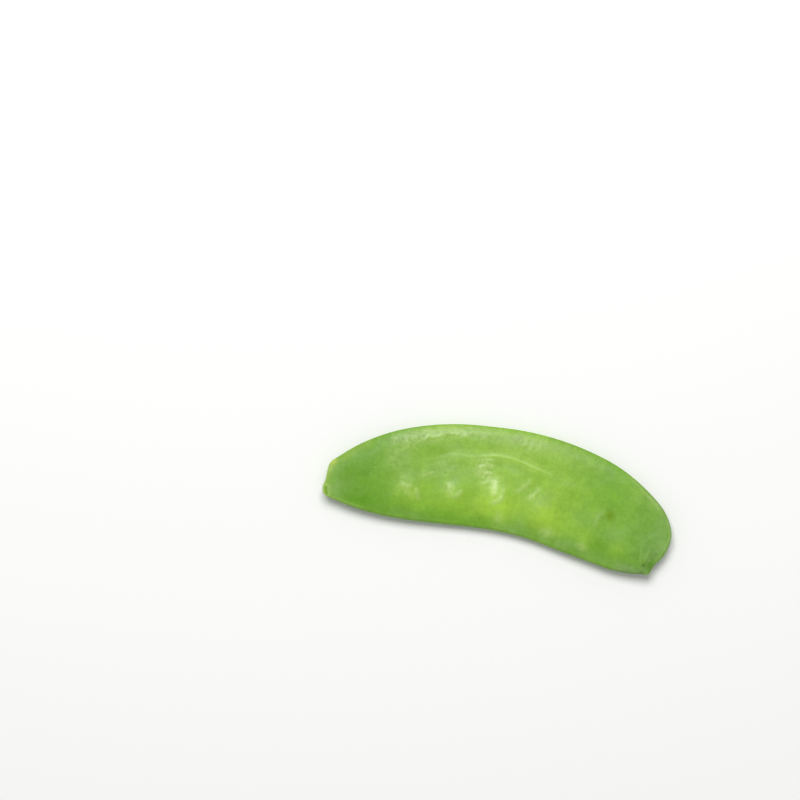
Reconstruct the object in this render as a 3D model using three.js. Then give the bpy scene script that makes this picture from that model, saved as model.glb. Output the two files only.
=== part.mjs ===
// Snow pea pod: one flat green legume pod, trimmed at the stem, lying on its side.
//
// Millimetres. +X runs along the pod towards the blossom end, +Y towards the outer, more
// convex seam and +Z up, away from the surface that the pod lies on. The origin is under the
// middle of the pod's outline, on that surface.
import * as THREE from 'three';

// ---------------------------------------------------------------- driving dimensions

// Sections from the stem end to the beak: [seed seam x, y, outer seam x, y].
const SECTIONS = [
  [-36.0, -11.2, -36.85, -3.3],
  [-31.6, -11.95, -31.9, 1.45],
  [-26.2, -12.35, -25.9, 5.5],
  [-19.5, -12.15, -19.3, 8.45],
  [-12.3, -11.35, -12.4, 10.45],
  [-5.3, -10.45, -5.2, 11.6],
  [1.5, -9.9, 2.0, 12.3],
  [8.0, -10.05, 9.2, 12.2],
  [14.5, -10.9, 16.3, 11.25],
  [20.5, -11.6, 23.3, 9.4],
  [26.0, -12.25, 29.6, 6.3],
  [29.9, -12.15, 34.9, 2.3],
  [31.6, -11.95, 37.35, -2.2],
  [32.3, -11.8, 36.7, -6.75],
  [32.8, -11.65, 34.8, -9.4],
];

// The cut at the stem, from the seed seam's round scar to the outer seam.
const STEM_CUT = [
  [-36.0, -11.2], [-36.9, -10.7], [-37.4, -9.8], [-37.5, -8.8],
  [-37.25, -7.9], [-37.3, -6.4], [-37.3, -5.0], [-37.2, -4.0], [-36.85, -3.3],
];

// The snapped end of the beak, from the seed seam to the notch under the outer seam.
const BEAK_END = [[32.8, -11.65], [33.9, -11.5], [34.55, -11.05], [34.8, -10.35], [34.8, -9.4]];

const HALF_LENGTH = 37.5;
const BELLY = 1.6; // half thickness of the flat walls, at mid length
const BELLY_AT_ENDS = 1.0;
const UNDERSIDE_EXTRA = 0.2; // how much further the lower wall bellies out
const SEED_SEAM = 0.95; // half thickness, and edge radius, of the cord-like seed seam
const OUTER_SEAM = 0.6; // half thickness, and edge radius, of the thin outer seam
const SEAM_AT_ENDS = 0.75; // share of the seam thickness left at the two ends
const SEED_SEAM_RISE = 2.4; // distance over which the wall rises from each seam
const OUTER_SEAM_RISE = 2.4;
const SEAM_GROOVE = 0.25; // depth of the groove between the two cords of the seed seam

// Seeds: [x, y, height of the swelling]. They press both walls out.
const SEEDS = [
  [-19.6, -6.6, 0.45], [-10.0, -5.4, 0.6], [-1.0, -4.0, 0.85],
  [9.0, -4.6, 0.6], [19.2, -6.6, 0.35], [27.0, -7.4, 0.3],
];
const SEED_HALF_LENGTH = 3.0; // along the pod
const SEED_HALF_WIDTH = 4.2; // across the pod
const SEED_UNDERSIDE = 0.45; // share of the swelling that shows on the underside

// The vein that arches over the seeds, above which the walls lie closer together.
const ARCH = [
  [-20.0, -3.0], [-14.0, 2.3], [-11.0, 4.1], [-6.5, 4.5], [-2.5, 6.1],
  [2.0, 6.0], [7.0, 5.0], [14.0, 3.6], [24.0, 0.0],
];
const ARCH_STEP = 0.18; // height of the step up to the seed chamber
const ARCH_STEP_WIDTH = 3.0;

// How the pod lies.
const BOW = 1.1; // rise of the two ends
const CAMBER = 0.35; // rise of the two seams against the middle
const REST_X = 0.8; // the middle of the spot that the pod rests on
const REST_Y = -1.8;
const PRESS = 0.08; // depth by which the pod's own weight flattens that spot

// Mesh density.
const STEPS_PER_SECTION = 5;
const WALL_STEPS = 12;
const SEAM_ANGLES = [20, 50, 90]; // degrees round each seam's edge

// ---------------------------------------------------------------- curves

const curve = (points) => new THREE.CatmullRomCurve3(
  points.map(([x, y]) => new THREE.Vector3(x, y, 0)), false, 'centripetal');

const seedSeam = curve(SECTIONS.map(([x, y]) => [x, y]));
const outerSeam = curve(SECTIONS.map(([, , x, y]) => [x, y]));
const stemCut = curve(STEM_CUT);
const beakEnd = curve(BEAK_END);
const arch = curve(ARCH).getPoints(80);

const { clamp, lerp, smoothstep, degToRad } = THREE.MathUtils;

// A point of the outline's plan: t runs along the pod, w across it from the seed seam.
function planPoint(t, w) {
  const a = seedSeam.getPoint(t);
  const b = outerSeam.getPoint(t);
  const point = a.clone().lerp(b, w);
  const last = SECTIONS.length - 1;
  const bend = (end, seamA, seamB, fade) => {
    const straight = seamA.clone().lerp(seamB, w);
    point.add(end.getPointAt(w).sub(straight).multiplyScalar(fade));
  };
  bend(stemCut, seedSeam.getPoint(0), outerSeam.getPoint(0), clamp(1 - t * last, 0, 1) ** 2);
  bend(beakEnd, seedSeam.getPoint(1), outerSeam.getPoint(1), clamp(1 - (1 - t) * last, 0, 1) ** 2);
  return point;
}

// ---------------------------------------------------------------- heights

const endShare = (x) => clamp((x / HALF_LENGTH) ** 2, 0, 1);

// How far the seed at each place presses the upper wall out.
function seedRelief(x, y) {
  let height = 0;
  for (const [seedX, seedY, rise] of SEEDS) {
    const along = (x - seedX) / SEED_HALF_LENGTH;
    const across = (y - seedY) / SEED_HALF_WIDTH;
    height += rise * Math.exp(-((along ** 2 + across ** 2) ** 1.25));
  }
  return height;
}

// 1 inside the seed chamber, 0 above the arching vein.
function chamber(x, y) {
  let archY = arch[0].y;
  for (let i = 1; i < arch.length; i++) {
    if (arch[i].x >= x) {
      const share = clamp((x - arch[i - 1].x) / (arch[i].x - arch[i - 1].x), 0, 1);
      archY = lerp(arch[i - 1].y, arch[i].y, share);
      break;
    }
  }
  const inside = smoothstep(archY - y, -ARCH_STEP_WIDTH / 2, ARCH_STEP_WIDTH / 2);
  return inside * smoothstep(x, -20, -10) * (1 - smoothstep(x, 10, 22));
}

// Half thickness of the wall at distance a from the seed seam and b from the outer seam.
function wallHeight(x, y, a, b, underside) {
  const ends = endShare(x);
  const seam = lerp(SEED_SEAM, OUTER_SEAM, a / (a + b)) * lerp(1, SEAM_AT_ENDS, ends);
  const belly = lerp(BELLY, BELLY_AT_ENDS, ends) + (underside ? UNDERSIDE_EXTRA : 0);
  const rise = (1 - Math.exp(-a / SEED_SEAM_RISE)) * (1 - Math.exp(-b / OUTER_SEAM_RISE));
  const relief = seedRelief(x, y) * (underside ? SEED_UNDERSIDE : 1)
    + ARCH_STEP * chamber(x, y) * (underside ? 0 : 1);
  return seam + (belly - seam + relief) * rise;
}

const middleHeight = (x, y) => BELLY + UNDERSIDE_EXTRA - PRESS
  + BOW * ((x - REST_X) / HALF_LENGTH) ** 2 + CAMBER * ((y - REST_Y) / 12) ** 2;

// ---------------------------------------------------------------- surface

// One ring round the pod: seed seam, upper wall, outer seam, lower wall.
function ring(t) {
  const width = planPoint(t, 0).distanceTo(planPoint(t, 1));
  const middle = planPoint(t, 0.5);
  const thin = lerp(1, SEAM_AT_ENDS, endShare(middle.x));
  const seedEdge = Math.min(SEED_SEAM * thin, width * 0.3);
  const outerEdge = Math.min(OUTER_SEAM * thin, width * 0.25);
  const upper = [];
  const lower = [];
  const place = (distance, heightOf) => {
    const p = planPoint(t, distance / width);
    const z = middleHeight(p.x, p.y);
    upper.push([p.x, p.y, z + heightOf(p, false)]);
    lower.push([p.x, p.y, Math.max(z - heightOf(p, true), 0)]);
  };
  for (const angle of SEAM_ANGLES) {
    const turn = degToRad(angle);
    place(seedEdge * (1 - Math.cos(turn)), () => seedEdge * Math.sin(turn));
  }
  for (let i = 1; i < WALL_STEPS; i++) {
    const d = lerp(seedEdge, width - outerEdge, i / WALL_STEPS);
    place(d, (p, underside) => wallHeight(p.x, p.y, d - seedEdge, width - outerEdge - d, underside));
  }
  for (const angle of [...SEAM_ANGLES].reverse()) {
    const turn = degToRad(angle);
    place(width - outerEdge * (1 - Math.cos(turn)), () => outerEdge * Math.sin(turn));
  }
  const groove = planPoint(t, SEAM_GROOVE * thin / width);
  const keel = planPoint(t, 1);
  return [
    [groove.x, groove.y, middleHeight(groove.x, groove.y)],
    ...upper,
    [keel.x, keel.y, middleHeight(keel.x, keel.y)],
    ...lower.reverse(),
  ];
}

// Joins the rings into one closed skin, with the two cut ends as flat caps.
function skin(rings) {
  const size = rings[0].length;
  const half = size / 2;
  const index = [];
  const quad = (a, b, c, d) => index.push(a, b, c, a, c, d);
  for (let r = 0; r < rings.length - 1; r++) {
    for (let i = 0; i < size; i++) {
      const j = (i + 1) % size;
      quad(r * size + i, (r + 1) * size + i, (r + 1) * size + j, r * size + j);
    }
  }
  for (const [base, turned] of [[0, false], [(rings.length - 1) * size, true]]) {
    for (let i = 0; i < half; i++) {
      const corners = [i, i + 1, size - i - 1, (size - i) % size].map((c) => base + c);
      const face = [...new Set(corners)];
      if (turned) face.reverse();
      for (let k = 1; k < face.length - 1; k++) index.push(face[0], face[k], face[k + 1]);
    }
  }
  const geometry = new THREE.BufferGeometry();
  geometry.setAttribute('position', new THREE.Float32BufferAttribute(rings.flat(2), 3));
  geometry.setIndex(index);
  geometry.computeVertexNormals();
  return geometry;
}

// ---------------------------------------------------------------- the pod

const stations = (SECTIONS.length - 1) * STEPS_PER_SECTION;
const rings = Array.from({ length: stations + 1 }, (_, i) => ring(i / stations));

const green = new THREE.MeshStandardMaterial({ color: 0x7fb53e, roughness: 0.45, metalness: 0 });
const pod = new THREE.Mesh(skin(rings), green);
pod.name = 'pod';

const group = new THREE.Group();
group.add(pod);
export default group;
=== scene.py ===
"""Snow pea pod: the looks of one flat, trimmed pod lying on its side on a pale floor."""

import math

import bpy
import numpy as np
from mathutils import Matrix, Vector


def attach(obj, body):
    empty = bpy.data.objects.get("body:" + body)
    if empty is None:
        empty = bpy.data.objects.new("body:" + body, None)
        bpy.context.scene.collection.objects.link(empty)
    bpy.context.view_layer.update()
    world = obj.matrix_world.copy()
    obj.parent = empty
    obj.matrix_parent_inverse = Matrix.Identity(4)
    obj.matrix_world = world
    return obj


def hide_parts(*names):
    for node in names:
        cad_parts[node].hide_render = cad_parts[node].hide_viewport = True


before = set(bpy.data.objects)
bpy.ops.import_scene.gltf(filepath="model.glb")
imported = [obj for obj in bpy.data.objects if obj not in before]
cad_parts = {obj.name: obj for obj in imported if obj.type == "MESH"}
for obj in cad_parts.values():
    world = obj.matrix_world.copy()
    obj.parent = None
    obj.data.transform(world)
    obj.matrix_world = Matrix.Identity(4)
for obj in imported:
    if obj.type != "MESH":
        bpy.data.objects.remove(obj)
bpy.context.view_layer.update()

MM = 0.001

# ------------------------------------------------------------------ the pod's form, in mm
# These values repeat the part's own source, so that the fine skin has the solid's form.

# Sections from the stem end to the beak: seed seam x, y, outer seam x, y.
SECTIONS = np.array([
    (-36.0, -11.2, -36.85, -3.3),
    (-31.6, -11.95, -31.9, 1.45),
    (-26.2, -12.35, -25.9, 5.5),
    (-19.5, -12.15, -19.3, 8.45),
    (-12.3, -11.35, -12.4, 10.45),
    (-5.3, -10.45, -5.2, 11.6),
    (1.5, -9.9, 2.0, 12.3),
    (8.0, -10.05, 9.2, 12.2),
    (14.5, -10.9, 16.3, 11.25),
    (20.5, -11.6, 23.3, 9.4),
    (26.0, -12.25, 29.6, 6.3),
    (29.9, -12.15, 34.9, 2.3),
    (31.6, -11.95, 37.35, -2.2),
    (32.3, -11.8, 36.7, -6.75),
    (32.8, -11.65, 34.8, -9.4),
])
# The cut at the stem and the snapped end of the beak, both from the seed seam to the outer one.
STEM_CUT = np.array([
    (-36.0, -11.2), (-36.9, -10.7), (-37.4, -9.8), (-37.5, -8.8),
    (-37.25, -7.9), (-37.3, -6.4), (-37.3, -5.0), (-37.2, -4.0), (-36.85, -3.3),
])
BEAK_END = np.array([(32.8, -11.65), (33.9, -11.5), (34.55, -11.05), (34.8, -10.35), (34.8, -9.4)])

HALF_LENGTH, HALF_WIDTH = 37.5, 12.0
# Half thickness of the walls at mid length and at the ends; the lower wall's extra.
BELLY, BELLY_AT_ENDS, UNDERSIDE_EXTRA = 1.6, 1.0, 0.2
# Half thickness of the two seams, the share of it left at the ends, and the most that either
# seam takes of the pod's width.
SEED_SEAM, OUTER_SEAM, SEAM_AT_ENDS = 0.95, 0.6, 0.75
SEED_SEAM_SHARE, OUTER_SEAM_SHARE = 0.3, 0.25
# Distance over which the wall rises from each seam; depth of the seed seam's groove.
SEED_SEAM_RISE, OUTER_SEAM_RISE = 2.4, 2.4
SEAM_GROOVE = 0.25
SEEDS = [  # x, y, height of the swelling
    (-19.6, -6.6, 0.45), (-10.0, -5.4, 0.6), (-1.0, -4.0, 0.85),
    (9.0, -4.6, 0.6), (19.2, -6.6, 0.35), (27.0, -7.4, 0.3),
]
SEED_HALF_LENGTH, SEED_HALF_WIDTH = 3.0, 4.2
SEED_POWER = 1.25  # above 1, the top of a swelling is flatter and its foot steeper
SEED_UNDERSIDE = 0.45  # share of a swelling that shows on the lower wall
# The vein that arches over the seeds, and the step up to the seed chamber under it.
ARCH = np.array([
    (-20.0, -3.0), (-14.0, 2.3), (-11.0, 4.1), (-6.5, 4.5), (-2.5, 6.1),
    (2.0, 6.0), (7.0, 5.0), (14.0, 3.6), (24.0, 0.0),
])
ARCH_STEP, ARCH_STEP_WIDTH = 0.18, 3.0
CHAMBER = (-20, -10, 10, 22)  # x where the chamber starts, is full, begins to fade and ends
# How the pod lies: rise of the ends and of the seams, and the place and depth of the spot
# that is pressed flat.
BOW, CAMBER, REST_X, REST_Y, PRESS = 1.1, 0.35, 0.8, -1.8, 0.08

# ------------------------------------------------------------------ the skin's fine forms, in mm

# Mesh density: along the pod, across a wall, round half a seam and down a cut face.
STEPS_PER_SECTION = 30
WALL_STEPS = 92
SEAM_STEPS = 7
CUT_STEPS = 8
SHARP_ANGLE = math.radians(48)

VEIN = [
    (-8.4, 4.3), (-5.6, 5.05), (-3.2, 5.7), (-0.5, 5.9),
    (2.0, 5.75), (5.0, 5.2), (8.2, 4.6), (11.5, 4.2),
]
VEIN_HALF = 0.26
VEIN_BELOW, VEIN_BELOW_HALF = 0.03, 0.3  # its height and half width on the lower wall
# Lines on the upper wall: points, half width, height (a groove below 0), paleness. The paleness is
# mostly a painted highlight along the line.
LINES = [
    (VEIN, VEIN_HALF, 0.055, 0.0),
    ([(-16.8, 1.4), (-14.2, 3.0), (-11.4, 3.95), (-8.5, 4.15), (-5.2, 4.4)], 0.42, 0.015, 0.28),
    # the seed nearest the middle
    ([(-2.5, 1.4), (-1.85, -0.4), (-1.7, -1.8), (-2.1, -3.4)], 0.8, 0.06, 1.1),
    ([(-3.6, 0.3), (-3.0, -0.4), (-2.8, -1.2), (-3.2, -2.2)], 0.5, 0.02, 0.1),
    ([(0.4, -0.2), (0.3, -1.8), (0.0, -3.6)], 0.4, 0.055, 0.8),
    ([(0.6, -2.1), (0.0, -3.25), (-0.9, -3.9), (-2.5, -4.5)], 0.42, 0.1, 1.7),
    ([(-6.2, 1.9), (-5.5, 2.7), (-4.2, 3.25)], 0.45, 0.07, 0.8),
    ([(-5.0, 4.35), (-4.2, 4.4), (-2.7, 4.3)], 0.28, 0.04, 0.4),
    ([(-4.8, 3.65), (-3.8, 3.4), (-2.9, 2.95)], 0.32, 0.07, 1.2),
    ([(-5.8, 2.8), (-5.7, 1.5), (-5.85, 0.3)], 0.36, 0.06, 1.4),
    ([(-4.6, 1.1), (-3.95, 1.65), (-3.45, 1.6), (-3.4, 0.7), (-3.5, -0.6)], 0.32, 0.08, 1.8),
    ([(-4.5, 1.8), (-4.6, 0.9), (-4.6, -0.1)], 0.28, 0.05, 1.1),
    ([(-3.4, 0.5), (-3.8, -0.4), (-4.5, -0.85), (-5.6, -0.8)], 0.38, 0.05, 0.7),
    # the next seed towards the beak
    ([(5.7, 2.9), (4.3, 0.7), (2.5, -1.5)], 0.45, 0.07, 0.7),
    ([(7.8, 1.5), (6.9, -0.4), (5.5, -2.4)], 0.42, 0.07, 0.8),
    # the two seeds towards the stem
    ([(-12.1, -2.0), (-11.5, -3.1), (-11.0, -4.1), (-10.1, -4.9)], 0.45, 0.05, 0.85),
    ([(-11.2, -4.8), (-9.8, -4.75), (-8.8, -3.9), (-8.3, -2.6)], 0.42, 0.07, 0.95),
    ([(-12.1, -3.0), (-11.0, -2.7), (-9.8, -2.7)], 0.3, 0.01, 0.25),
    ([(-22.5, -3.7), (-21.2, -3.5), (-20.1, -3.9)], 0.4, 0.02, 0.3),
    ([(-21.9, -4.2), (-20.8, -5.0), (-19.7, -5.15), (-19.0, -3.9)], 0.42, 0.06, 0.85),
    ([(-20.3, -5.2), (-20.1, -6.2), (-20.4, -7.4)], 0.5, 0.02, 0.35),
    ([(-19.6, -5.4), (-19.2, -6.2), (-19.3, -7.2)], 0.4, 0.03, 0.45),
    ([(-18.3, -4.6), (-17.7, -5.8), (-17.4, -6.6), (-17.2, -7.8)], 0.4, 0.06, 0.8),
    ([(-17.8, -2.7), (-16.7, -1.8), (-15.9, -1.3), (-14.9, -0.7)], 0.42, 0.05, 0.5),
    # wrinkles of the stem end's shoulder
    ([(-25.2, 4.9), (-24.8, 3.8), (-25.0, 2.2)], 0.35, 0.03, 0.3),
    ([(-22.7, 5.3), (-22.1, 4.1), (-21.4, 2.9)], 0.4, 0.04, 0.4),
    ([(-17.9, 7.2), (-18.3, 6.2), (-19.2, 5.1)], 0.34, 0.03, 0.3),
    ([(-18.3, 5.9), (-17.0, 6.5), (-16.0, 7.0), (-15.3, 7.9)], 0.38, 0.05, 0.5),
    ([(-20.0, 7.7), (-19.2, 7.5), (-17.4, 7.8)], 0.28, 0.02, 0.25),
    ([(-13.8, 8.0), (-12.7, 8.4), (-11.4, 8.4)], 0.35, 0.05, 0.45),
    ([(-11.0, 8.0), (-10.0, 8.6), (-9.2, 9.8)], 0.35, 0.04, 0.4),
    # fine strokes above the vein
    ([(2.0, 11.8), (2.6, 10.2), (2.1, 8.4)], 0.35, 0.04, 0.3),
    ([(3.6, 11.6), (4.1, 9.8), (3.4, 8.0)], 0.35, 0.03, 0.25),
    ([(5.2, 11.2), (5.8, 9.7), (5.4, 8.2)], 0.35, 0.03, 0.2),
    # the seed nearest the beak
    ([(22.3, -0.2), (21.3, -2.0), (20.9, -5.3)], 0.6, 0.06, 0.4),
    # along the stem end's edges
    ([(-36.4, -10.7), (-34.2, -11.1), (-31.0, -11.5), (-26.5, -11.8)], 0.3, 0.02, 0.5),
    ([(-36.8, -2.6), (-36.95, -4.8), (-36.9, -7.6)], 0.6, 0.0, 0.25),
    # along the outer seam towards the beak
    ([(24.0, 8.9), (27.3, 7.1), (30.2, 5.2), (32.6, 3.5), (34.6, 1.6)], 0.45, 0.01, 0.5),
    # the beak's inner edge and its creased foot
    ([(35.5, 1.6), (36.85, -1.6), (36.75, -4.3), (36.05, -6.6), (34.9, -8.8)], 0.2, 0.03, 0.35),
    ([(31.8, -6.0), (32.05, -8.0), (32.4, -9.2), (33.1, -9.9)], 0.3, -0.06, 0.0),
    ([(31.6, -5.6), (31.85, -8.0), (32.3, -9.8)], 0.15, 0.0, 0.5),
    ([(34.3, -5.6), (33.9, -7.2), (33.5, -8.5), (33.3, -9.8)], 0.28, -0.05, 0.0),
    ([(33.5, -6.0), (33.2, -7.6), (32.9, -9.0)], 0.35, 0.03, 0.3),
]
# The round scar of the stalk: a slit inside a raised ring.
SCAR = [(-36.85, -9.3), (-36.7, -9.9), (-36.4, -10.45)]
SLIT_HALF, SLIT_DEPTH = 0.26, 0.06
RING_AWAY, RING_HALF, RING_HEIGHT = 0.5, 0.3, 0.07
# Hollows on the upper wall: x, y, half length, half width, depth.
HOLLOWS = [
    (-32.6, -6.4, 1.6, 3.6, 0.08), (-14.9, -6.4, 1.8, 3.0, 0.07), (-9.0, 6.4, 5.0, 1.4, 0.09),
    (-5.9, -5.6, 1.6, 3.2, 0.1), (1.0, 4.3, 2.6, 0.9, 0.06), (4.2, -5.6, 1.8, 3.2, 0.1),
    (14.6, -6.2, 2.2, 3.2, 0.08), (23.3, -8.4, 1.6, 1.8, 0.08), (32.9, -9.8, 0.5, 0.4, 0.05),
    (33.1, -11.2, 0.4, 0.3, 0.03), (34.4, -6.8, 1.2, 2.4, 0.1),
]
# Unevenness of each wall: height, size of its bumps, seed.
UPPER_UNEVEN = [(0.035, 3.1, 11), (0.016, 1.4, 12)]
LOWER_UNEVEN = [(0.04, 3.4, 21), (0.016, 1.5, 22)]
# Distances from either seam between which the fine forms start and are full.
FINE_START, FINE_FULL = -0.2, 0.9

# A cut face bulges by a share of its height, up to a limit. The slit between the two valves
# is pressed in along its middle, by another share and up to another limit. Its half width is
# a share of the face's height. Both fade towards the seams, between the last two distances.
CUT_BULGE, CUT_BULGE_LIMIT = 0.12, 0.12
CUT_SLIT, CUT_SLIT_LIMIT, CUT_SLIT_HALF = 0.25, 0.22, 0.09
CUT_START, CUT_FULL = 0.1, 1.2

# Curves are sampled in steps, and points beyond their reach get a distance that is far off.
CURVE_STEPS, LENGTH_STEPS, ARCH_STEPS = 8, 400, 200
LINE_REACH, CUT_REACH, FAR = 2.0, 2.5, 9.0
# How far a stroke reaches, in half widths, and the share of its length that fades at each end.
STROKE_REACH, STROKE_FADE = 3, 0.25
# The noise's grid, and the cosine and sine of its turn.
NOISE_CELLS, NOISE_COS, NOISE_SIN = 128, 0.8, 0.6
TINY = 1e-6


def smooth(x, low, high):
    t = np.clip((x - low) / (high - low), 0, 1)
    return t * t * (3 - 2 * t)


def mix(a, b, t):
    return a + (b - a) * t


def between(x, start, full, fade, end):
    """1 from full to fade, falling smoothly to 0 at start and at end."""
    return smooth(x, start, full) * (1 - smooth(x, fade, end))


def band(distance, middle, half):
    """1 at the middle distance, fading over the half width to each side."""
    return np.exp(-(((distance - middle) / half) ** 2))


def spline(points, t):
    """A centripetal Catmull-Rom curve through the points, with t from 0 to 1."""
    ends = np.vstack([2 * points[0] - points[1], points, 2 * points[-1] - points[-2]])
    place = np.clip(t, 0, 1) * (len(points) - 1)
    i = np.minimum(place.astype(int), len(points) - 2)
    w = (place - i)[..., None]
    p = [ends[i + j] for j in range(4)]
    d = [np.sqrt(np.linalg.norm(p[j + 1] - p[j], axis=-1))[..., None] for j in range(3)]
    out = ((p[1] - p[0]) / d[0] - (p[2] - p[0]) / (d[0] + d[1]) + (p[2] - p[1]) / d[1]) * d[1]
    into = ((p[2] - p[1]) / d[1] - (p[3] - p[1]) / (d[1] + d[2]) + (p[3] - p[2]) / d[2]) * d[1]
    a = 2 * p[1] - 2 * p[2] + out + into
    b = -3 * p[1] + 3 * p[2] - 2 * out - into
    return ((a * w + b) * w + out) * w + p[1]


def even(points, w):
    """A point of the curve at the share w of its length."""
    t = np.linspace(0, 1, LENGTH_STEPS)
    line = spline(points, t)
    length = np.concatenate([[0], np.cumsum(np.linalg.norm(np.diff(line, axis=0), axis=1))])
    return spline(points, np.interp(w * length[-1], length, t))


def plan(t, w):
    """The plan of the pod: t runs along it and w across it, from the seed seam."""
    a, b = spline(SECTIONS[:, :2], t), spline(SECTIONS[:, 2:], t)
    w = w[..., None]
    point = mix(a, b, w)
    last = len(SECTIONS) - 1
    for end, section, near in ((STEM_CUT, SECTIONS[0], t), (BEAK_END, SECTIONS[-1], 1 - t)):
        fade = np.clip(1 - near * last, 0, 1)[..., None] ** 2
        point = point + (even(end, w[..., 0]) - mix(section[:2], section[2:], w)) * fade
    return point


def to_line(points, x, y, reach):
    """Distance from a curve, and how far along it the nearest point is, from 0 to 1."""
    points = np.array(points, float)
    samples = spline(points, np.linspace(0, 1, CURVE_STEPS * len(points)))
    away, share = np.full(x.shape, FAR), np.zeros(x.shape)
    low, high = samples.min(0) - reach, samples.max(0) + reach
    near = (x > low[0]) & (x < high[0]) & (y > low[1]) & (y < high[1])
    if near.any():
        spot = np.stack([x[near], y[near]], -1)
        best, at = np.full(len(spot), FAR), np.zeros(len(spot))
        for i, (a, b) in enumerate(zip(samples[:-1], samples[1:])):
            w = np.clip((spot - a) @ (b - a) / ((b - a) @ (b - a)), 0, 1)
            d = np.linalg.norm(spot - mix(a, b, w[:, None]), axis=1)
            closer = d < best
            best[closer], at[closer] = d[closer], ((i + w) / (len(samples) - 1))[closer]
        away[near], share[near] = best, at
    return away, share


def stroke(points, half, x, y):
    """1 on a curve, fading over the half width to each side and towards both of its ends."""
    away, share = to_line(points, x, y, STROKE_REACH * half)
    return band(away, 0, half) * between(share, 0, STROKE_FADE, 1 - STROKE_FADE, 1)


def patch(x, y, at_x, at_y, half_x, half_y):
    """1 at a place, fading over its half length and half width to each side."""
    return np.exp(-(((x - at_x) / half_x) ** 2 + ((y - at_y) / half_y) ** 2))


def sum_of(patches, x, y):
    return sum(strength * patch(x, y, *place) for *place, strength in patches)


def noise(x, y, size, seed):
    """Smooth seeded noise from -1 to 1 on a turned grid, with bumps of about the given size."""
    cells, middle = NOISE_CELLS, NOISE_CELLS // 2
    grid = np.random.default_rng(seed).uniform(-1, 1, (cells, cells))
    u = (NOISE_COS * x + NOISE_SIN * y) / size + middle
    v = (NOISE_COS * y - NOISE_SIN * x) / size + middle
    i, j = np.floor(u).astype(int), np.floor(v).astype(int)
    fu, fv = smooth(u - i, 0, 1), smooth(v - j, 0, 1)
    corner = [[grid[(i + a) % cells, (j + b) % cells] for b in (0, 1)] for a in (0, 1)]
    return mix(mix(corner[0][0], corner[1][0], fu), mix(corner[0][1], corner[1][1], fu), fv)


def uneven(x, y, table):
    return sum(height * noise(x, y, size, seed) for height, size, seed in table)


def end_share(x):
    """0 at mid length, 1 at either end."""
    return np.clip((x / HALF_LENGTH) ** 2, 0, 1)


def seed_relief(x, y):
    """Height of the seeds' swellings."""
    height = np.zeros_like(x)
    for seed_x, seed_y, rise in SEEDS:
        square = ((x - seed_x) / SEED_HALF_LENGTH) ** 2 + ((y - seed_y) / SEED_HALF_WIDTH) ** 2
        height += rise * np.exp(-(square ** SEED_POWER))
    return height


ARCH_LINE = spline(ARCH, np.linspace(0, 1, ARCH_STEPS))


def over_arch(x, y):
    """How far a point lies above the arching vein, measured across the pod."""
    return y - np.interp(x, ARCH_LINE[:, 0], ARCH_LINE[:, 1])


def chamber(x, y):
    """1 over the seed chamber, 0 above the arching vein and towards both ends."""
    inside = 1 - smooth(over_arch(x, y), -ARCH_STEP_WIDTH / 2, ARCH_STEP_WIDTH / 2)
    return inside * between(x, *CHAMBER)


def fine_relief(x, y, under):
    """Height of what is too fine for the solid: veins, wrinkles, hollows and unevenness."""
    upper = sum(height * stroke(points, half, x, y) for points, half, height, _ in LINES)
    upper -= sum_of(HOLLOWS, x, y)
    scar, _ = to_line(SCAR, x, y, LINE_REACH)
    upper += RING_HEIGHT * band(scar, RING_AWAY, RING_HALF) - SLIT_DEPTH * band(scar, 0, SLIT_HALF)
    upper += uneven(x, y, UPPER_UNEVEN)
    lower = uneven(x, y, LOWER_UNEVEN) + VEIN_BELOW * stroke(VEIN, VEIN_BELOW_HALF, x, y)
    return mix(upper, lower, under)


def wall_height(x, y, a, b, under):
    """Height of a wall over the pod's middle surface; a and b are mm from the two seams."""
    ends = end_share(x)
    seam = mix(SEED_SEAM, OUTER_SEAM, a / (a + b)) * mix(1, SEAM_AT_ENDS, ends)
    belly = mix(BELLY, BELLY_AT_ENDS, ends) + UNDERSIDE_EXTRA * under
    rise = (1 - np.exp(-a / SEED_SEAM_RISE)) * (1 - np.exp(-b / OUTER_SEAM_RISE))
    relief = seed_relief(x, y) * mix(1, SEED_UNDERSIDE, under)
    relief += ARCH_STEP * chamber(x, y) * (1 - under)
    fine = fine_relief(x, y, under)
    fine *= smooth(a, FINE_START, FINE_FULL) * smooth(b, FINE_START, FINE_FULL)
    return seam + (belly - seam + relief) * rise + fine


def middle_height(x, y):
    """Height above the table of the surface halfway between the two walls."""
    bow = BOW * ((x - REST_X) / HALF_LENGTH) ** 2
    return BELLY + UNDERSIDE_EXTRA - PRESS + bow + CAMBER * ((y - REST_Y) / HALF_WIDTH) ** 2


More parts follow.
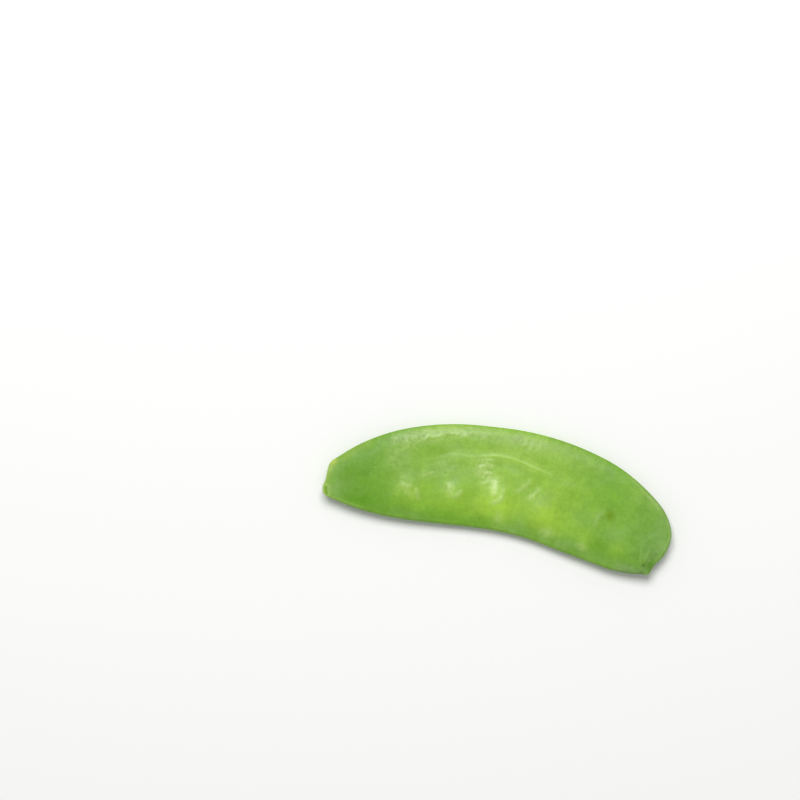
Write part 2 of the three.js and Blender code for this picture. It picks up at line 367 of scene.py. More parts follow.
def skin_rings():
    """Every ring round the pod: seed seam, upper wall, outer seam, lower wall.

    Each point has x, y, z, its distance from the seed seam and from the outer seam, and 0 on
    the upper wall, 1 on the lower one. Also gives the outer seam's place in a ring.
    """
    sections = len(SECTIONS) - 1
    t = np.linspace(0, 1, sections * STEPS_PER_SECTION + 1)[:, None]
    ones = np.ones_like(t)
    width = np.linalg.norm(plan(t, ones) - plan(t, 0 * ones), axis=-1)
    thin = mix(1, SEAM_AT_ENDS, end_share(plan(t, 0.5 * ones)[..., 0]))
    seed_edge = np.minimum(SEED_SEAM * thin, width * SEED_SEAM_SHARE)
    outer_edge = np.minimum(OUTER_SEAM * thin, width * OUTER_SEAM_SHARE)
    turn = np.linspace(0, math.pi / 2, SEAM_STEPS + 1)[1:][None, :]
    inner = np.linspace(0, 1, WALL_STEPS + 1)[1:-1][None, :]
    wall = mix(seed_edge, width - outer_edge, inner)
    distance = np.hstack([
        seed_edge * (1 - np.cos(turn)), wall, width - outer_edge * (1 - np.cos(turn[:, ::-1])),
    ])
    p = plan(np.broadcast_to(t, distance.shape), distance / width)
    x, y = p[..., 0], p[..., 1]
    z = middle_height(x, y)
    a = np.maximum(distance - seed_edge, TINY)
    b = np.maximum(width - outer_edge - distance, TINY)
    walls = []
    for under in (0.0, 1.0):
        height = wall_height(x, y, a, b, under)
        height[:, :SEAM_STEPS] = seed_edge * np.sin(turn)
        height[:, -SEAM_STEPS:] = outer_edge * np.sin(turn[:, ::-1])
        top = z + height if under == 0 else np.maximum(z - height, 0)
        walls.append(np.stack([x, y, top, distance, width - distance, under + 0 * x], -1))
    edges = []
    for w in (SEAM_GROOVE * thin / width, ones):
        p = plan(t, w)
        x, y = p[..., 0], p[..., 1]
        z = middle_height(x, y)
        edges.append(np.stack([x, y, z, w * width, (1 - w) * width, 0.5 + 0 * x], -1))
    rings = np.concatenate([edges[0], walls[0], edges[1], walls[1][:, ::-1]], axis=1)
    return rings, walls[0].shape[1] + 1


def cut_face(ring, half, outward):
    """Rows of points over a cut end, from the upper wall's edge down to the lower wall's."""
    size = len(ring)
    top = ring[:half + 1]
    low = ring[[(size - k) % size for k in range(half + 1)]]
    share = np.linspace(0, 1, CUT_STEPS + 1)[1:-1][:, None]
    rows = mix(top[None, :, :], low[None, :, :], share[..., None])
    gap = np.linalg.norm(top - low, axis=-1)[None, :]
    bulge = np.minimum(gap * CUT_BULGE, CUT_BULGE_LIMIT) * (1 - (2 * share - 1) ** 2)
    bulge -= np.minimum(gap * CUT_SLIT, CUT_SLIT_LIMIT) * band(share, 0.5, CUT_SLIT_HALF)
    bulge *= smooth(np.minimum(top[:, 3], top[:, 4]), CUT_START, CUT_FULL)
    rows[..., :2] += outward * bulge[..., None]
    return rows


# ------------------------------------------------------------------ the skin's colours

# Each row of these tables is a place: x, y, half length, half width, strength. Where the
# strength is below 0, there is less of it. The places run from the stem end to the beak.

# Yellower green, where the seeds shine through the walls.
GLOWS = [
    (-19.8, -5.6, 2.6, 2.0, 0.1), (-17.0, -1.0, 5.0, 6.0, -0.12), (-10.9, -5.0, 2.6, 2.2, 0.2),
    (-2.0, -1.6, 1.0, 1.1, 0.25), (-0.6, -4.8, 3.8, 4.2, 0.58), (2.5, 3.5, 5.0, 3.5, 0.1),
    (6.5, 2.4, 2.4, 2.4, 0.08), (10.2, -5.2, 3.2, 3.4, 0.4), (19.5, -6.8, 1.8, 2.4, 0.22),
    (26.8, -7.8, 1.6, 2.2, 0.24),
]
# Pale spots over the seeds, by the stem and near the outer seam; the ones at x -25 and x 31 are
# painted highlights.
PALE_SPOTS = [
    (-35.8, -8.9, 0.6, 0.6, 0.1), (-25.0, 0.2, 1.2, 1.6, 0.12), (0.4, -7.1, 1.0, 1.4, 0.4),
    (11.2, -7.7, 1.4, 1.1, 0.5), (19.0, -8.8, 0.9, 0.8, 0.2), (19.4, -9.0, 0.9, 0.7, 0.2),
    (31.0, 4.6, 0.7, 0.5, 0.25),
]
# Deeper green: towards both ends, between the seeds and on the beak's foot. Below the stem end's
# shoulder and above the second seed from the stem it is painted shade.
DEEP = [
    (-32.4, 0.6, 4.0, 2.4, 0.42), (-31.0, -11.0, 3.5, 0.7, 0.12), (-30.5, -5.0, 5.5, 5.5, 0.6),
    (-28.5, -9.6, 1.6, 1.4, 0.3), (-27.0, -9.5, 5.0, 2.6, 0.4), (-15.5, 4.6, 4.5, 1.8, 0.3),
    (-14.0, -6.0, 3.5, 1.4, 0.15), (-10.8, -1.2, 1.3, 0.9, 0.3), (23.5, -8.6, 1.8, 1.6, 0.5),
    (29.5, -4.0, 4.5, 6.0, 0.2), (32.0, -4.5, 3.0, 4.5, 0.36), (32.6, -5.0, 1.0, 1.6, 0.3),
    (33.7, -9.3, 0.6, 0.8, 0.7), (34.0, -6.5, 2.0, 4.0, 0.35), (34.0, -10.6, 1.3, 1.0, 0.8),
    (34.5, -7.7, 0.8, 1.6, 0.7),
]
# Broad lighter and darker places, as a share of the skin's brightness: partly the skin's own tone,
# partly painted light and painted shade, with a painted highlight over the middle seed.
TONES_AND_PAINTED_SHADING = [
    (-33.5, -6.0, 3.0, 3.5, -0.05), (-31.5, -11.0, 4.0, 0.7, 0.06), (-24.4, 4.6, 2.0, 1.6, -0.05),
    (-20.5, -3.6, 3.0, 2.0, -0.05), (-20.0, 2.5, 3.0, 4.0, -0.04), (-18.3, -3.0, 1.2, 1.3, -0.05),
    (-17.0, -1.0, 5.0, 6.0, 0.02), (-16.0, 6.0, 5.0, 2.0, -0.05), (-12.5, 5.5, 2.4, 1.2, -0.045),
    (-11.0, -8.8, 7.0, 1.2, 0.07), (-10.8, -1.2, 1.2, 0.9, -0.05), (-9.0, -2.0, 1.8, 7.0, 0.05),
    (-8.2, 10.0, 1.9, 0.9, -0.08), (-5.5, 0.2, 2.6, 2.4, 0.05), (-3.0, 1.8, 4.5, 2.2, 0.06),
    (-1.9, -1.5, 0.8, 1.0, 0.13), (-0.5, -7.2, 2.2, 1.2, 0.08), (0.0, 10.3, 2.2, 1.5, -0.09),
    (0.2, -5.6, 2.0, 1.8, 0.035), (2.0, -7.7, 1.8, 0.9, 0.06), (2.2, -2.0, 1.3, 2.5, 0.06),
    (4.8, 1.6, 1.6, 2.2, 0.08), (6.3, -1.2, 0.7, 0.7, 0.06), (8.6, -1.0, 1.6, 1.6, -0.06),
    (10.6, 11.2, 3.0, 1.0, -0.06), (11.5, 0.0, 3.0, 2.2, -0.05), (23.0, 3.5, 4.5, 3.0, 0.09),
    (25.0, -9.4, 1.6, 1.0, -0.05), (29.8, -4.5, 3.0, 4.0, 0.045), (30.0, -11.4, 3.0, 0.6, -0.06),
    (30.0, -10.4, 3.0, 0.8, -0.06), (30.5, 3.5, 2.5, 3.0, -0.08), (31.0, 1.6, 1.6, 1.4, 0.04),
    (31.2, -8.0, 0.9, 1.5, -0.05), (31.5, -5.5, 3.6, 3.6, -0.045), (33.6, -9.1, 0.5, 0.7, -0.1),
    (34.2, -9.5, 1.8, 2.4, -0.1), (34.4, -7.6, 0.7, 1.5, -0.1),
]
# A greyish, waxy bloom, partly painted sheen: a whitish-blue tint where the skin reflects the
# light.
BLOOM_AND_PAINTED_SHEEN = [
    (-35.0, -6.0, 1.2, 1.4, 0.25), (-34.4, -9.0, 1.8, 1.6, 0.8), (-22.6, 0.6, 2.6, 3.6, 0.5),
    (-17.5, -10.8, 6.0, 1.2, 0.5), (-14.5, -0.6, 3.5, 1.8, 0.5), (-11.0, 1.6, 5.0, 1.6, 0.6),
    (-11.0, -1.7, 1.5, 1.0, -0.6), (-8.0, -0.5, 2.5, 1.6, 0.4), (-4.8, 2.2, 2.2, 2.2, 0.5),
    (1.0, 4.2, 2.6, 1.0, 0.6), (3.5, 1.0, 3.0, 2.5, 0.5), (4.8, -7.5, 2.4, 2.2, 0.5),
    (15.0, 7.0, 6.0, 3.0, 0.1), (16.0, -9.0, 3.0, 1.4, 0.6), (23.8, -5.4, 2.4, 1.4, 0.35),
    (30.0, -10.6, 3.5, 1.4, 0.45), (30.2, -8.0, 1.6, 1.2, 0.25), (31.0, -3.6, 3.4, 5.0, 0.36),
    (33.0, -8.0, 0.8, 1.3, 0.5), (33.8, -10.6, 1.2, 1.0, 0.6), (34.8, -5.6, 1.8, 3.0, 0.9),
    (35.0, -1.5, 1.6, 3.4, 0.8), (36.3, -3.5, 0.8, 3.0, 0.6),
]
# Rumpled, waxy places that shine: glossier and bumpier, and painted paler in a mottle, partly pale
# wax and partly a painted highlight.
SHEENS = [
    (-24.6, 3.0, 1.8, 2.0, 0.2), (-23.6, 0.0, 1.8, 1.8, 0.3), (-21.5, 4.1, 2.2, 2.2, 0.44),
    (-20.4, -5.1, 1.6, 1.4, 0.7), (-18.6, 5.7, 2.2, 1.0, 0.3), (-17.8, -6.1, 1.0, 1.4, 0.5),
    (-16.3, -1.8, 1.7, 0.8, 0.4), (-12.5, 1.0, 3.6, 1.6, 0.25), (-10.4, -3.8, 1.8, 1.4, 0.7),
    (-7.5, 1.2, 1.6, 1.6, 0.3), (-5.2, 1.0, 1.6, 1.4, 0.6), (-4.8, 3.2, 2.0, 1.8, 0.8),
    (-2.8, 0.2, 2.2, 2.4, 0.5), (-2.0, -1.5, 1.2, 1.4, 0.5), (-0.7, -3.1, 0.9, 1.4, 0.5),
    (3.4, 10.0, 3.4, 1.9, 0.33), (4.3, 0.8, 1.2, 1.7, 0.4), (6.2, -1.2, 0.6, 0.6, 0.9),
    (10.8, -7.5, 1.3, 1.0, 0.4), (19.0, -8.8, 1.0, 0.8, 0.3),
]
# Places that shine less: the scar of the stalk and the olive blemish.
DULL = [(-36.7, -9.6, 1.4, 1.6, 0.8), (23.6, -1.0, 1.3, 1.3, 1.4)]
# Straw-coloured places, and the straw-coloured edge by the stem end's corner.
TAN = [
    (-36.7, -4.9, 0.6, 1.3, 0.3), (-36.6, -3.5, 0.8, 0.7, 0.65), (-13.6, 9.5, 1.4, 0.5, 0.3),
    (-10.3, 10.4, 1.2, 0.4, 0.25),
]
TAN_EDGE = [(-36.6, -3.7), (-34.6, -2.1), (-32.3, 0.2), (-30.0, 2.2)]
# Dark specks by the beak; the two in the dimple and the notch at the beak's foot are painted shade
# in these hollows.
DARK = [
    (32.9, -9.72, 0.42, 0.36, 1.4), (33.0, -11.2, 0.5, 0.3, 0.9), (34.15, -4.5, 0.2, 0.15, 0.4),
    (34.25, -10.1, 0.25, 0.25, 0.4), (35.1, -6.7, 0.2, 0.3, 0.7),
]
# Two single places, which have no strength: an olive blemish, and brown freckles by the
# outer seam.
BLEMISH = (23.6, -1.0, 1.0, 1.1)
BRUISE = (0.3, 10.8, 0.8, 0.9)
# How pale the cut faces are, at the stem and at the beak.
STEM_FLESH, BEAK_FLESH = 1, 0.35
# Share of each mark that shows on the lower wall, where it isn't none or all.
GLOW_BELOW, SHEEN_BELOW, VEIN_MARK_BELOW = 0.7, 0.5, 0.5

# Bands along the two seams: distance from the seam, half width, stretch, strength. A stretch
# is the four places along the pod where the band starts, is full, begins to fade and ends.
# STEM and BEAK are places beyond the ends, for a band that runs on to one of them.
# Along the seams, the deep bands and the darker tone bands are mostly painted shade where the
# walls turn away from the light.
STEM, BEAK = (-99, -98), (98, 99)
SEED_SEAM_BANDS = {
    "pale": [(0, 0.5, *STEM, *BEAK, 0.08), (0, 0.5, *STEM, -24, -14, 0.06)],
    "deep": [(1.2, 1.3, *STEM, *BEAK, 0.3)],
    "bloom_and_painted_sheen": [
        (1.2, 1.3, *STEM, *BEAK, 0.05), (1.2, 1.3, -12, 8, *BEAK, 0.35),
        (0, 1.2, 25, 30, *BEAK, 0.7),
    ],
    "rim": [(0, 0.9, *STEM, *BEAK, 1)],
    "tone_and_painted_shading": [(1.5, 1.0, -18, -12, 3, 8, 0.035), (0, 1.2, 26, 30, *BEAK, -0.17)],
}
OUTER_SEAM_BANDS = {
    "pale": [(0, 0.5, *STEM, -33, -26, 0.12)],
    "deep": [(0, 0.5, -30, -26, 18, 24, 0.2), (0, 1.4, 4, 9, 16, 22, 0.26)],
    "bloom_and_painted_sheen": [(0, 0.9, 29, 34, *BEAK, 0.7)],
    "sheen": [(2.0, 1.4, -28, -14, -13, 0, 0.68)],
    "rim": [(0, 0.9, *STEM, *BEAK, 1)],
    "dull": [(1.4, 1.5, *STEM, -29, -24, 0.45)],
    "tone_and_painted_shading": [(2.1, 1.2, -30, -24, 16, 21, -0.08)],
}
# Yellower green along the middle: strength, stretch, and its rise from the seed seam.
RIPE, RIPE_STRETCH, RIPE_RISE = 0.44, (-29, -14, 10, 24), (0.5, 6)
# Bloom and painted sheen above the vein: strength, stretch, its rise with y and its rise from the
# outer seam.
BACK_BLOOM_AND_PAINTED_SHEEN, BACK_STRETCH, BACK_RISE, BACK_EDGE = 0.25, (*STEM, 4, 14), (4, 9.5), (0.5, 2.2)
# Pale and straw-coloured bands along the cut at the stem, and the straw-coloured edge: half
# width, strength.
STEM_PALE, STEM_TAN, TAN_BAND = (0.5, 0.1), (0.8, 0.22), (0.8, 0.26)
# How pale the ring of the stalk's scar is, and the most bloom and painted sheen that a point can
# have.
RING_PALE, BLOOM_AND_SHEEN_LIMIT = 0.4, 1.5
# Painted shade along the edge by the beak: its strength, its half width at the seams and at the
# cut, and where along the pod it rises, by the seed seam and by the outer one.
EDGE_SHADE, EDGE_HALF, EDGE_CUT_HALF = 0.4, 0.35, 0.4
SEED_EDGE_RISE, OUTER_EDGE_RISE = (20, 28), (24, 31)


def along(bands, mark, distance, x):
    """The sum of a mark's bands along a seam."""
    return sum(strength * band(distance, middle, half) * between(x, *stretch)
               for middle, half, *stretch, strength in bands.get(mark, ()))


def line_band(distance, half, strength):
    return strength * band(distance, 0, half)


def skin_marks(x, y, a, b, under):
    """Strength of each mark on each point; a and b are mm from the seed and the outer seam."""
    upper = 1 - under
    stem, _ = to_line(STEM_CUT, x, y, CUT_REACH)
    beak, _ = to_line(BEAK_END, x, y, CUT_REACH)
    scar, _ = to_line(SCAR, x, y, LINE_REACH)
    tan_edge, _ = to_line(TAN_EDGE, x, y, LINE_REACH)
    ring = band(scar, RING_AWAY, RING_HALF) * upper

    def seams(mark):
        return along(SEED_SEAM_BANDS, mark, a, x) + along(OUTER_SEAM_BANDS, mark, b, x)

    ripe = RIPE * between(x, *RIPE_STRETCH) * smooth(a, *RIPE_RISE)
    back = BACK_BLOOM_AND_PAINTED_SHEEN * between(x, *BACK_STRETCH) * smooth(y, *BACK_RISE) * smooth(b, *BACK_EDGE)
    pale = sum_of(PALE_SPOTS, x, y) * upper + seams("pale")
    pale += RING_PALE * ring + line_band(stem, *STEM_PALE)
    sheen = sum_of(SHEENS, x, y) * mix(1, SHEEN_BELOW, under) + seams("sheen")
    shine = sum(paleness * stroke(points, half, x, y) for points, half, _, paleness in LINES)
    edge = np.maximum.reduce([
        band(a, 0, EDGE_HALF) * smooth(x, *SEED_EDGE_RISE),
        band(b, 0, EDGE_HALF) * smooth(x, *OUTER_EDGE_RISE),
        band(beak, 0, EDGE_CUT_HALF),
    ])
    return {
        "glow": np.clip(ripe + sum_of(GLOWS, x, y) * mix(1, GLOW_BELOW, under), 0, 1),
        "pale": np.clip(pale, 0, 1),
        "deep": np.clip(sum_of(DEEP, x, y) + seams("deep"), 0, 1),
        "bloom_and_painted_sheen": np.clip(sum_of(BLOOM_AND_PAINTED_SHEEN, x, y) + back + seams("bloom_and_painted_sheen"), 0, BLOOM_AND_SHEEN_LIMIT),
        "sheen": np.clip(sheen, 0, 1),
        "rim": np.clip(seams("rim"), 0, 1),
        "shine": np.clip(shine * upper, 0, 1),
        "dull": (sum_of(DULL, x, y) + seams("dull")) * upper,
        "tone_and_painted_shading": (sum_of(TONES_AND_PAINTED_SHADING, x, y) + seams("tone_and_painted_shading")) * upper,
        "tan": sum_of(TAN, x, y) + line_band(tan_edge, *TAN_BAND) + line_band(stem, *STEM_TAN),
        "vein": stroke(VEIN, VEIN_HALF, x, y) * mix(1, VEIN_MARK_BELOW, under),
        "blemish": patch(x, y, *BLEMISH) * upper,
        "bruise": patch(x, y, *BRUISE) * upper,
        "scar": band(scar, 0, SLIT_HALF) * upper,
        "dark": sum_of(DARK, x, y) * upper + EDGE_SHADE * edge,
    }


def skin_mesh(name):
    """The whole skin as one closed mesh: the rings and the two cut faces that close them."""
    rings, half = skin_rings()
    count, size = rings.shape[:2]
    r, i = np.meshgrid(np.arange(count - 1), np.arange(size), indexing="ij")
    j = (i + 1) % size
    quads = np.stack([r * size + i, (r + 1) * size + i, (r + 1) * size + j, r * size + j], -1)
    faces = quads.reshape(-1, 4).tolist()
    points = [rings.reshape(-1, rings.shape[-1])]
    total = len(points[0])
    for base, beside, turned in ((0, 1, False), (count - 1, count - 2, True)):
        outward = rings[base, half // 2, :2] - rings[beside, half // 2, :2]
        rows = cut_face(rings[base], half, outward / np.linalg.norm(outward))
        first = [base * size + k for k in range(half + 1)]
        last = [base * size + (size - k) % size for k in range(half + 1)]
        table = [first]
        for step in range(CUT_STEPS - 1):
            table.append([total + step * (half - 1) + k - 1 for k in range(half + 1)])
            table[-1][0], table[-1][half] = first[0], first[half]
        table.append(last)
        points.append(rows[:, 1:-1].reshape(-1, rings.shape[-1]))
        total += len(points[-1])
        for upper_row, lower_row in zip(table[:-1], table[1:]):
            for k in range(half):
                corners = (upper_row[k], upper_row[k + 1], lower_row[k + 1], lower_row[k])
                face = list(dict.fromkeys(corners))
                faces.append(face[::-1] if turned else face)
    points = np.concatenate(points)
    mesh = bpy.data.meshes.new(name)
    mesh.from_pydata((points[:, :3] * MM).tolist(), [], faces)
    mesh.validate()
    mesh.shade_smooth()
    mesh.set_sharp_from_angle(angle=SHARP_ANGLE)
    marks = skin_marks(*(points[:, c] for c in (0, 1, 3, 4, 5)))
    marks["flesh"] = np.zeros(len(points))
    marks["flesh"][count * size:] = np.where(points[count * size:, 0] < 0, STEM_FLESH, BEAK_FLESH)
    for mark, values in marks.items():
        attribute = mesh.attributes.new(mark, "FLOAT", "POINT")
        attribute.data.foreach_set("value", values.astype(np.float32))
    return mesh


# ------------------------------------------------------------------ material

# Linear colours.
GREEN = (0.165, 0.37, 0.02)
YELLOW_GREEN = (0.355, 0.59, 0.05)
DEEP_GREEN = (0.115, 0.305, 0.005)
PALE_GREEN = (0.46, 0.62, 0.19)
GREY_GREEN = (0.255, 0.42, 0.135)
VEIN_GREEN = (0.42, 0.65, 0.11)
OLIVE = (0.08, 0.16, 0.008)
SPOT_OLIVE = (0.145, 0.285, 0.003)
BROWN = (0.16, 0.13, 0.035)
STRAW = (0.47, 0.58, 0.08)

# Noise textures: size in mm, detail, roughness, distortion.
BROAD, CLOUDY, SPECKLE = (9.0, 1.0), (2.4, 1.5), (0.34, 1.0)
MOTTLE, STROKES = (1.0, 1.5, 0.6, 0.5), (0.7, 1.0, 0.5, 0.4)
FOLDS, GLOSS = (1.15, 1.0, 0.5, 0.5), (1.6, 2.0, 0.6)
STRETCH = 0.28  # scale of y in the textures whose strokes run across the pod

# Brightness of the greens, and what each texture adds to it.
SHADE = 0.62
CLOUDY_SHADE, MOTTLE_SHADE, STROKES_SHADE, SPECKLE_SHADE = 0.14, 0.24, 0.14, 0.24
# What a texture makes of the colours: its low and high, and the strengths that they give.
BROAD_GLOW, CLOUDY_GLOW = (0.3, 0.7, -0.06, 0.08), (0.3, 0.7, -0.06, 0.06)
BLOOM_AND_SHEEN_COVER, SHEEN_COVER = (0.35, 0.65, 0.3, 0.65), (0.36, 0.62, 0.05, 0.5)
PALE_COVER, FLESH_COVER, FRECKLE_COVER = (0.3, 0.6, 0.7, 1.0), (0.2, 0.8, 0.2, 0.6), (0.5, 0.62)
# How much of each tint is laid over the colour; the shine's tint is a painted highlight.
SHINE_TINT, VEIN_TINT, TAN_TINT, BLEMISH_TINT = 0.48, 0.5, 0.65, 0.9
DARK_TINT, FRECKLE_TINT, DOT_TINT, SCAR_TINT = 0.75, 0.6, 0.35, 0.7
# Sparse dots: cells to a mm, where a dot's edge is in its cell, and which cells have one.
DOT_CELLS, DOT_EDGE, DOT_CHANCE = 0.33, (0.05, 0.10, 1.0, 0.0), (0.72, 0.74)

# Roughness from the gloss texture, and what the rim, dull places and wax add to it.
GLOSS_ROUGH = (0.3, 0.7, 0.34, 0.44)
RIM_ROUGH, DULL_ROUGH, WAX_ROUGH = 0.15, 0.3, -0.08
# Strength of the bumps: the mottle's everywhere and where there is sheen, and the folds' there.
MOTTLE_BUMP, MOTTLE_SHEEN_BUMP, FOLD_BUMP = 0.7, 0.6, 2.4
FOLD_DEPTH, PEBBLE_DEPTH = 0.05, 0.012  # mm
IOR = 1.42
SCATTER, SCATTER_RADIUS, SCATTER_SCALE = 0.12, (0.9, 1.0, 0.3), 1.0 * MM


class Nodes:
    """Adds nodes to a material, each with its inputs given as values or as other outputs."""

    def __init__(self, mat):
        mat.use_nodes = True
        self.tree = mat.node_tree
        self.shader = self.tree.nodes["Principled BSDF"]

    def add(self, kind, inputs=(), **settings):
        node = self.tree.nodes.new(kind)
        for key, value in settings.items():
            setattr(node, key, value)
        for key, value in dict(inputs).items():
            self.put(value, node.inputs[key])
        return node

    def put(self, value, socket):
        if isinstance(value, bpy.types.NodeSocket):
            self.tree.links.new(value, socket)
        elif isinstance(value, tuple) and socket.type == "RGBA":
            socket.default_value = (*value, 1)
        else:
            socket.default_value = value

    def mark(self, name):
        return self.add("ShaderNodeAttribute", attribute_name=name).outputs["Fac"]

    def math(self, operation, a, b=0.0):
        return self.add("ShaderNodeMath", {0: a, 1: b}, operation=operation).outputs[0]

    def plus(self, value, *parts):
        """The value plus each part, given as a socket and its share."""
        for socket, share in parts:
            value = self.math("ADD", value, self.math("MULTIPLY", socket, share))
        return value

    def scaled(self, vector, scale):
        inputs = {0: vector, 1: scale}
        return self.add("ShaderNodeVectorMath", inputs, operation="MULTIPLY").outputs[0]

    def span(self, value, low, high, to_low=0.0, to_high=1.0):
        """The value eased from low..high to to_low..to_high."""
        inputs = {
            "Value": value, "From Min": low, "From Max": high, "To Min": to_low, "To Max": to_high,
        }
        return self.add("ShaderNodeMapRange", inputs, interpolation_type="SMOOTHSTEP").outputs[0]

    def blend(self, share, a, b, how="MIX"):
        node = self.add("ShaderNodeMix", data_type="RGBA", blend_type=how)
        self.put(share, node.inputs[0])
        self.put(a, node.inputs[6])
        self.put(b, node.inputs[7])
        return node.outputs[2]

    def paint(self, color, mark, strength, tint):
        """The tint laid over the colour where the mark is."""
        return self.blend(self.math("MULTIPLY", mark, strength), color, tint)

    def noise(self, place, size, detail, rough=0.5, warp=0.0):
        inputs = {
            "Vector": place, "Scale": 1 / size, "Detail": detail, "Roughness": rough,
            "Distortion": warp,
        }
        return self.add("ShaderNodeTexNoise", inputs).outputs["Fac"]

    def bump(self, height, depth, normal=None):
        inputs = {"Strength": 1.0, "Distance": depth * MM, "Height": height}
        if normal is not None:
            inputs["Normal"] = normal
        return self.add("ShaderNodeBump", inputs).outputs[0]


def skin_material():
    """The skin's colours, shine and fine bumps, from the mesh's marks and from noise."""
    mat = bpy.data.materials.new("pod_skin")
    n = Nodes(mat)
    place = n.scaled(n.add("ShaderNodeTexCoord").outputs["Object"], (1 / MM, 1 / MM, 1 / MM))
    across = n.scaled(place, (1.0, STRETCH, 1.0))
    broad, cloudy = n.noise(place, *BROAD), n.noise(place, *CLOUDY)
    mottle, strokes = n.noise(place, *MOTTLE), n.noise(across, *STROKES)
    speckle = n.noise(place, *SPECKLE)
    sheen, shine = n.mark("sheen"), n.mark("shine")

    # greens, ripe over the seeds, under a patchy bloom that is partly painted sheen
    glow = n.math("ADD", n.mark("glow"), n.span(broad, *BROAD_GLOW))
    glow = n.math("ADD", glow, n.span(cloudy, *CLOUDY_GLOW))
    color = n.blend(n.math("MAXIMUM", glow, 0.0), GREEN, YELLOW_GREEN)
    color = n.blend(n.mark("deep"), color, DEEP_GREEN)
    color = n.paint(color, n.mark("bloom_and_painted_sheen"), n.span(cloudy, *BLOOM_AND_SHEEN_COVER), GREY_GREEN)

    # lighter and darker: noise, and the tone mark with its painted light and painted shade
    shade = n.plus(
        n.math("ADD", n.mark("tone_and_painted_shading"), SHADE),
        (cloudy, CLOUDY_SHADE), (mottle, MOTTLE_SHADE),
        (strokes, STROKES_SHADE), (speckle, SPECKLE_SHADE),
    )
    grey = n.add("ShaderNodeCombineXYZ", {0: shade, 1: shade, 2: shade}).outputs[0]
    color = n.blend(1.0, color, grey, "MULTIPLY")

    # painted highlights over the sheen and along the lines, then the vein, pale and straw places,
    # the blemish, dark specks and painted shade, and freckles
    color = n.paint(color, sheen, n.span(mottle, *SHEEN_COVER), PALE_GREEN)
    color = n.paint(color, shine, SHINE_TINT, PALE_GREEN)
    color = n.paint(color, n.mark("vein"), VEIN_TINT, VEIN_GREEN)
    color = n.paint(color, n.mark("pale"), n.span(mottle, *PALE_COVER), PALE_GREEN)
    color = n.paint(color, n.mark("tan"), TAN_TINT, STRAW)
    color = n.paint(color, n.mark("blemish"), BLEMISH_TINT, SPOT_OLIVE)
    color = n.paint(color, n.mark("dark"), DARK_TINT, OLIVE)
    freckled = n.math("MULTIPLY", n.mark("bruise"), n.span(speckle, *FRECKLE_COVER))
    color = n.paint(color, freckled, FRECKLE_TINT, BROWN)

    # sparse dots, a few tenths of a millimetre across
    cells = n.add("ShaderNodeTexVoronoi", {"Vector": place, "Scale": DOT_CELLS})
    chance = n.add("ShaderNodeSeparateColor", {0: cells.outputs["Color"]}).outputs[0]
    dot = n.span(cells.outputs["Distance"], *DOT_EDGE)
    dot = n.math("MULTIPLY", dot, n.span(chance, *DOT_CHANCE))
    color = n.paint(color, dot, DOT_TINT, OLIVE)

    # the cut faces and the stalk's scar
    flesh = n.blend(n.span(speckle, *FLESH_COVER), PALE_GREEN, STRAW)
    color = n.blend(n.mark("flesh"), color, flesh)
    color = n.paint(color, n.mark("scar"), SCAR_TINT, SPOT_OLIVE)

    rough = n.plus(
        n.span(n.noise(place, *GLOSS), *GLOSS_ROUGH),
        (n.mark("rim"), RIM_ROUGH), (n.mark("dull"), DULL_ROUGH),
        (sheen, WAX_ROUGH), (shine, WAX_ROUGH),
    )

    # wormy folds where the skin is rumpled, fine pebbles all over
    folds = n.math("ABSOLUTE", n.math("SUBTRACT", n.noise(across, *FOLDS), 0.5))
    wormy = n.math("MULTIPLY", mottle, n.plus(MOTTLE_BUMP, (sheen, MOTTLE_SHEEN_BUMP)))
    wormy = n.plus(wormy, (folds, n.math("MULTIPLY", sheen, FOLD_BUMP)))
    normal = n.bump(speckle, PEBBLE_DEPTH, n.bump(wormy, FOLD_DEPTH))

    settings = {
        "Base Color": color, "Roughness": rough, "Normal": normal, "IOR": IOR,
        "Subsurface Weight": SCATTER, "Subsurface Radius": SCATTER_RADIUS,
        "Subsurface Scale": SCATTER_SCALE,
    }
    for name, value in settings.items():
        n.put(value, n.shader.inputs[name])
    return mat


# ------------------------------------------------------------------ stage

PHOTO_SIZE = 800  # pixels
PIXEL = 0.21423  # mm of the pod to a pixel of the photograph
POD_AT = (503.6, 485.0)  # pixel over the pod's origin
POD_TURN = math.radians(13.5)  # the pod's stem-to-beak axis runs this far below level
CAMERA_HEIGHT = 1000.0  # mm
CLIP_START, CLIP_END = 0.01, 20  # m

# A soft light on the outer seam's side: metres, watts, and the direction it comes from.
LIGHT_LENGTH, LIGHT_WIDTH, LIGHT_POWER, LIGHT_AWAY = 0.5, 0.4, 5.0, 0.8
LIGHT_TURN, LIGHT_ELEVATION = math.radians(112), math.radians(62)
WORLD_STRENGTH = 0.42

FLOOR_SIDE = 6.0  # m, from the middle
FLOOR_LEVEL = -0.02 * MM
FLOOR_COLOR, FLOOR_ROUGHNESS = (0.93, 0.93, 0.92, 1), 0.9


def add_object(name, data):
    thing = bpy.data.objects.new(name, data)
    bpy.context.scene.collection.objects.link(thing)
    return thing


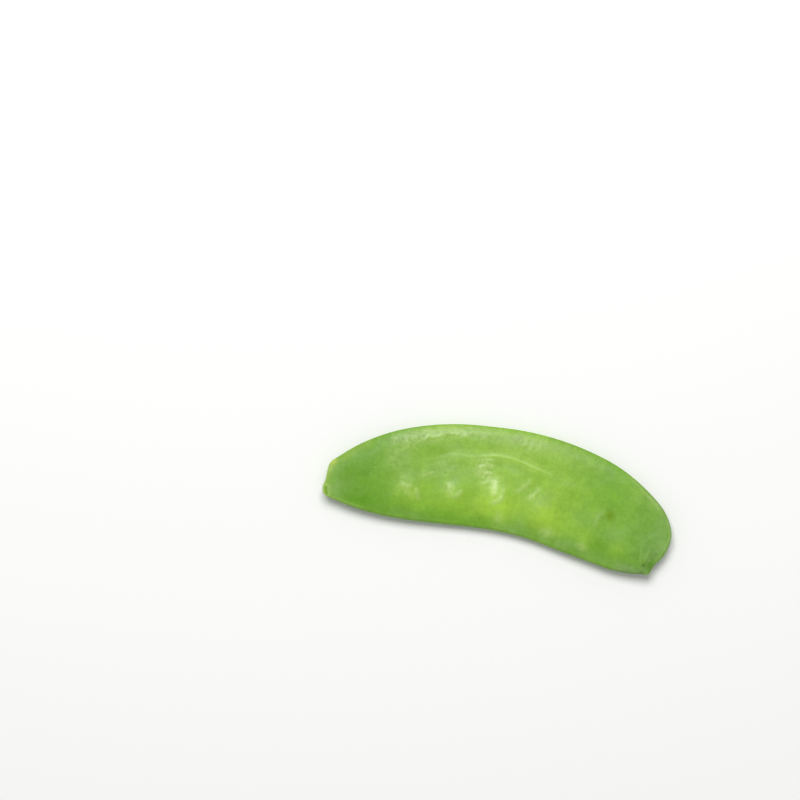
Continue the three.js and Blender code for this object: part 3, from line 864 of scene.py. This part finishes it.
def make_camera():
    """Straight above, so that the pod lies in the picture where the photograph has it."""
    right, down = (PHOTO_SIZE / 2 - c for c in POD_AT)
    across = Vector((math.cos(POD_TURN), math.sin(POD_TURN), 0))
    up = Vector((-math.sin(POD_TURN), math.cos(POD_TURN), 0))
    data = bpy.data.cameras.new("camera")
    data.lens = data.sensor_width * CAMERA_HEIGHT / (PHOTO_SIZE * PIXEL)
    data.clip_start, data.clip_end = CLIP_START, CLIP_END
    camera = add_object("camera", data)
    camera.location = (across * right - up * down) * PIXEL * MM
    camera.location.z = CAMERA_HEIGHT * MM
    camera.rotation_euler = (0, 0, POD_TURN)
    bpy.context.scene.camera = camera


def make_light():
    data = bpy.data.lights.new("softbox", "AREA")
    data.shape = "RECTANGLE"
    data.size, data.size_y = LIGHT_LENGTH, LIGHT_WIDTH
    data.energy = LIGHT_POWER
    light = add_object("softbox", data)
    level = math.cos(LIGHT_ELEVATION)
    direction = Vector((
        math.cos(LIGHT_TURN) * level, math.sin(LIGHT_TURN) * level, math.sin(LIGHT_ELEVATION),
    ))
    light.location = direction * LIGHT_AWAY
    light.rotation_euler = direction.to_track_quat("Z", "Y").to_euler()


def make_world():
    world = bpy.data.worlds.new("studio")
    world.use_nodes = True
    background = world.node_tree.nodes["Background"]
    background.inputs["Color"].default_value = (1, 1, 1, 1)
    background.inputs["Strength"].default_value = WORLD_STRENGTH
    bpy.context.scene.world = world


def make_floor():
    mesh = bpy.data.meshes.new("floor")
    corners = [(x * FLOOR_SIDE, y * FLOOR_SIDE, FLOOR_LEVEL)
               for x, y in ((-1, -1), (1, -1), (1, 1), (-1, 1))]
    mesh.from_pydata(corners, [], [(0, 1, 2, 3)])
    mat = bpy.data.materials.new("floor_paper")
    mat.use_nodes = True
    shader = mat.node_tree.nodes["Principled BSDF"]
    shader.inputs["Base Color"].default_value = FLOOR_COLOR
    shader.inputs["Roughness"].default_value = FLOOR_ROUGHNESS
    mesh.materials.append(mat)
    floor = add_object("floor", mesh)


make_camera()
make_light()
make_world()
make_floor()
bpy.context.scene.view_settings.view_transform = "Standard"

mesh = skin_mesh("pod_surface")
mesh.materials.append(skin_material())
pod = add_object("pod_surface", mesh)
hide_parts("pod")
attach(pod, "root")
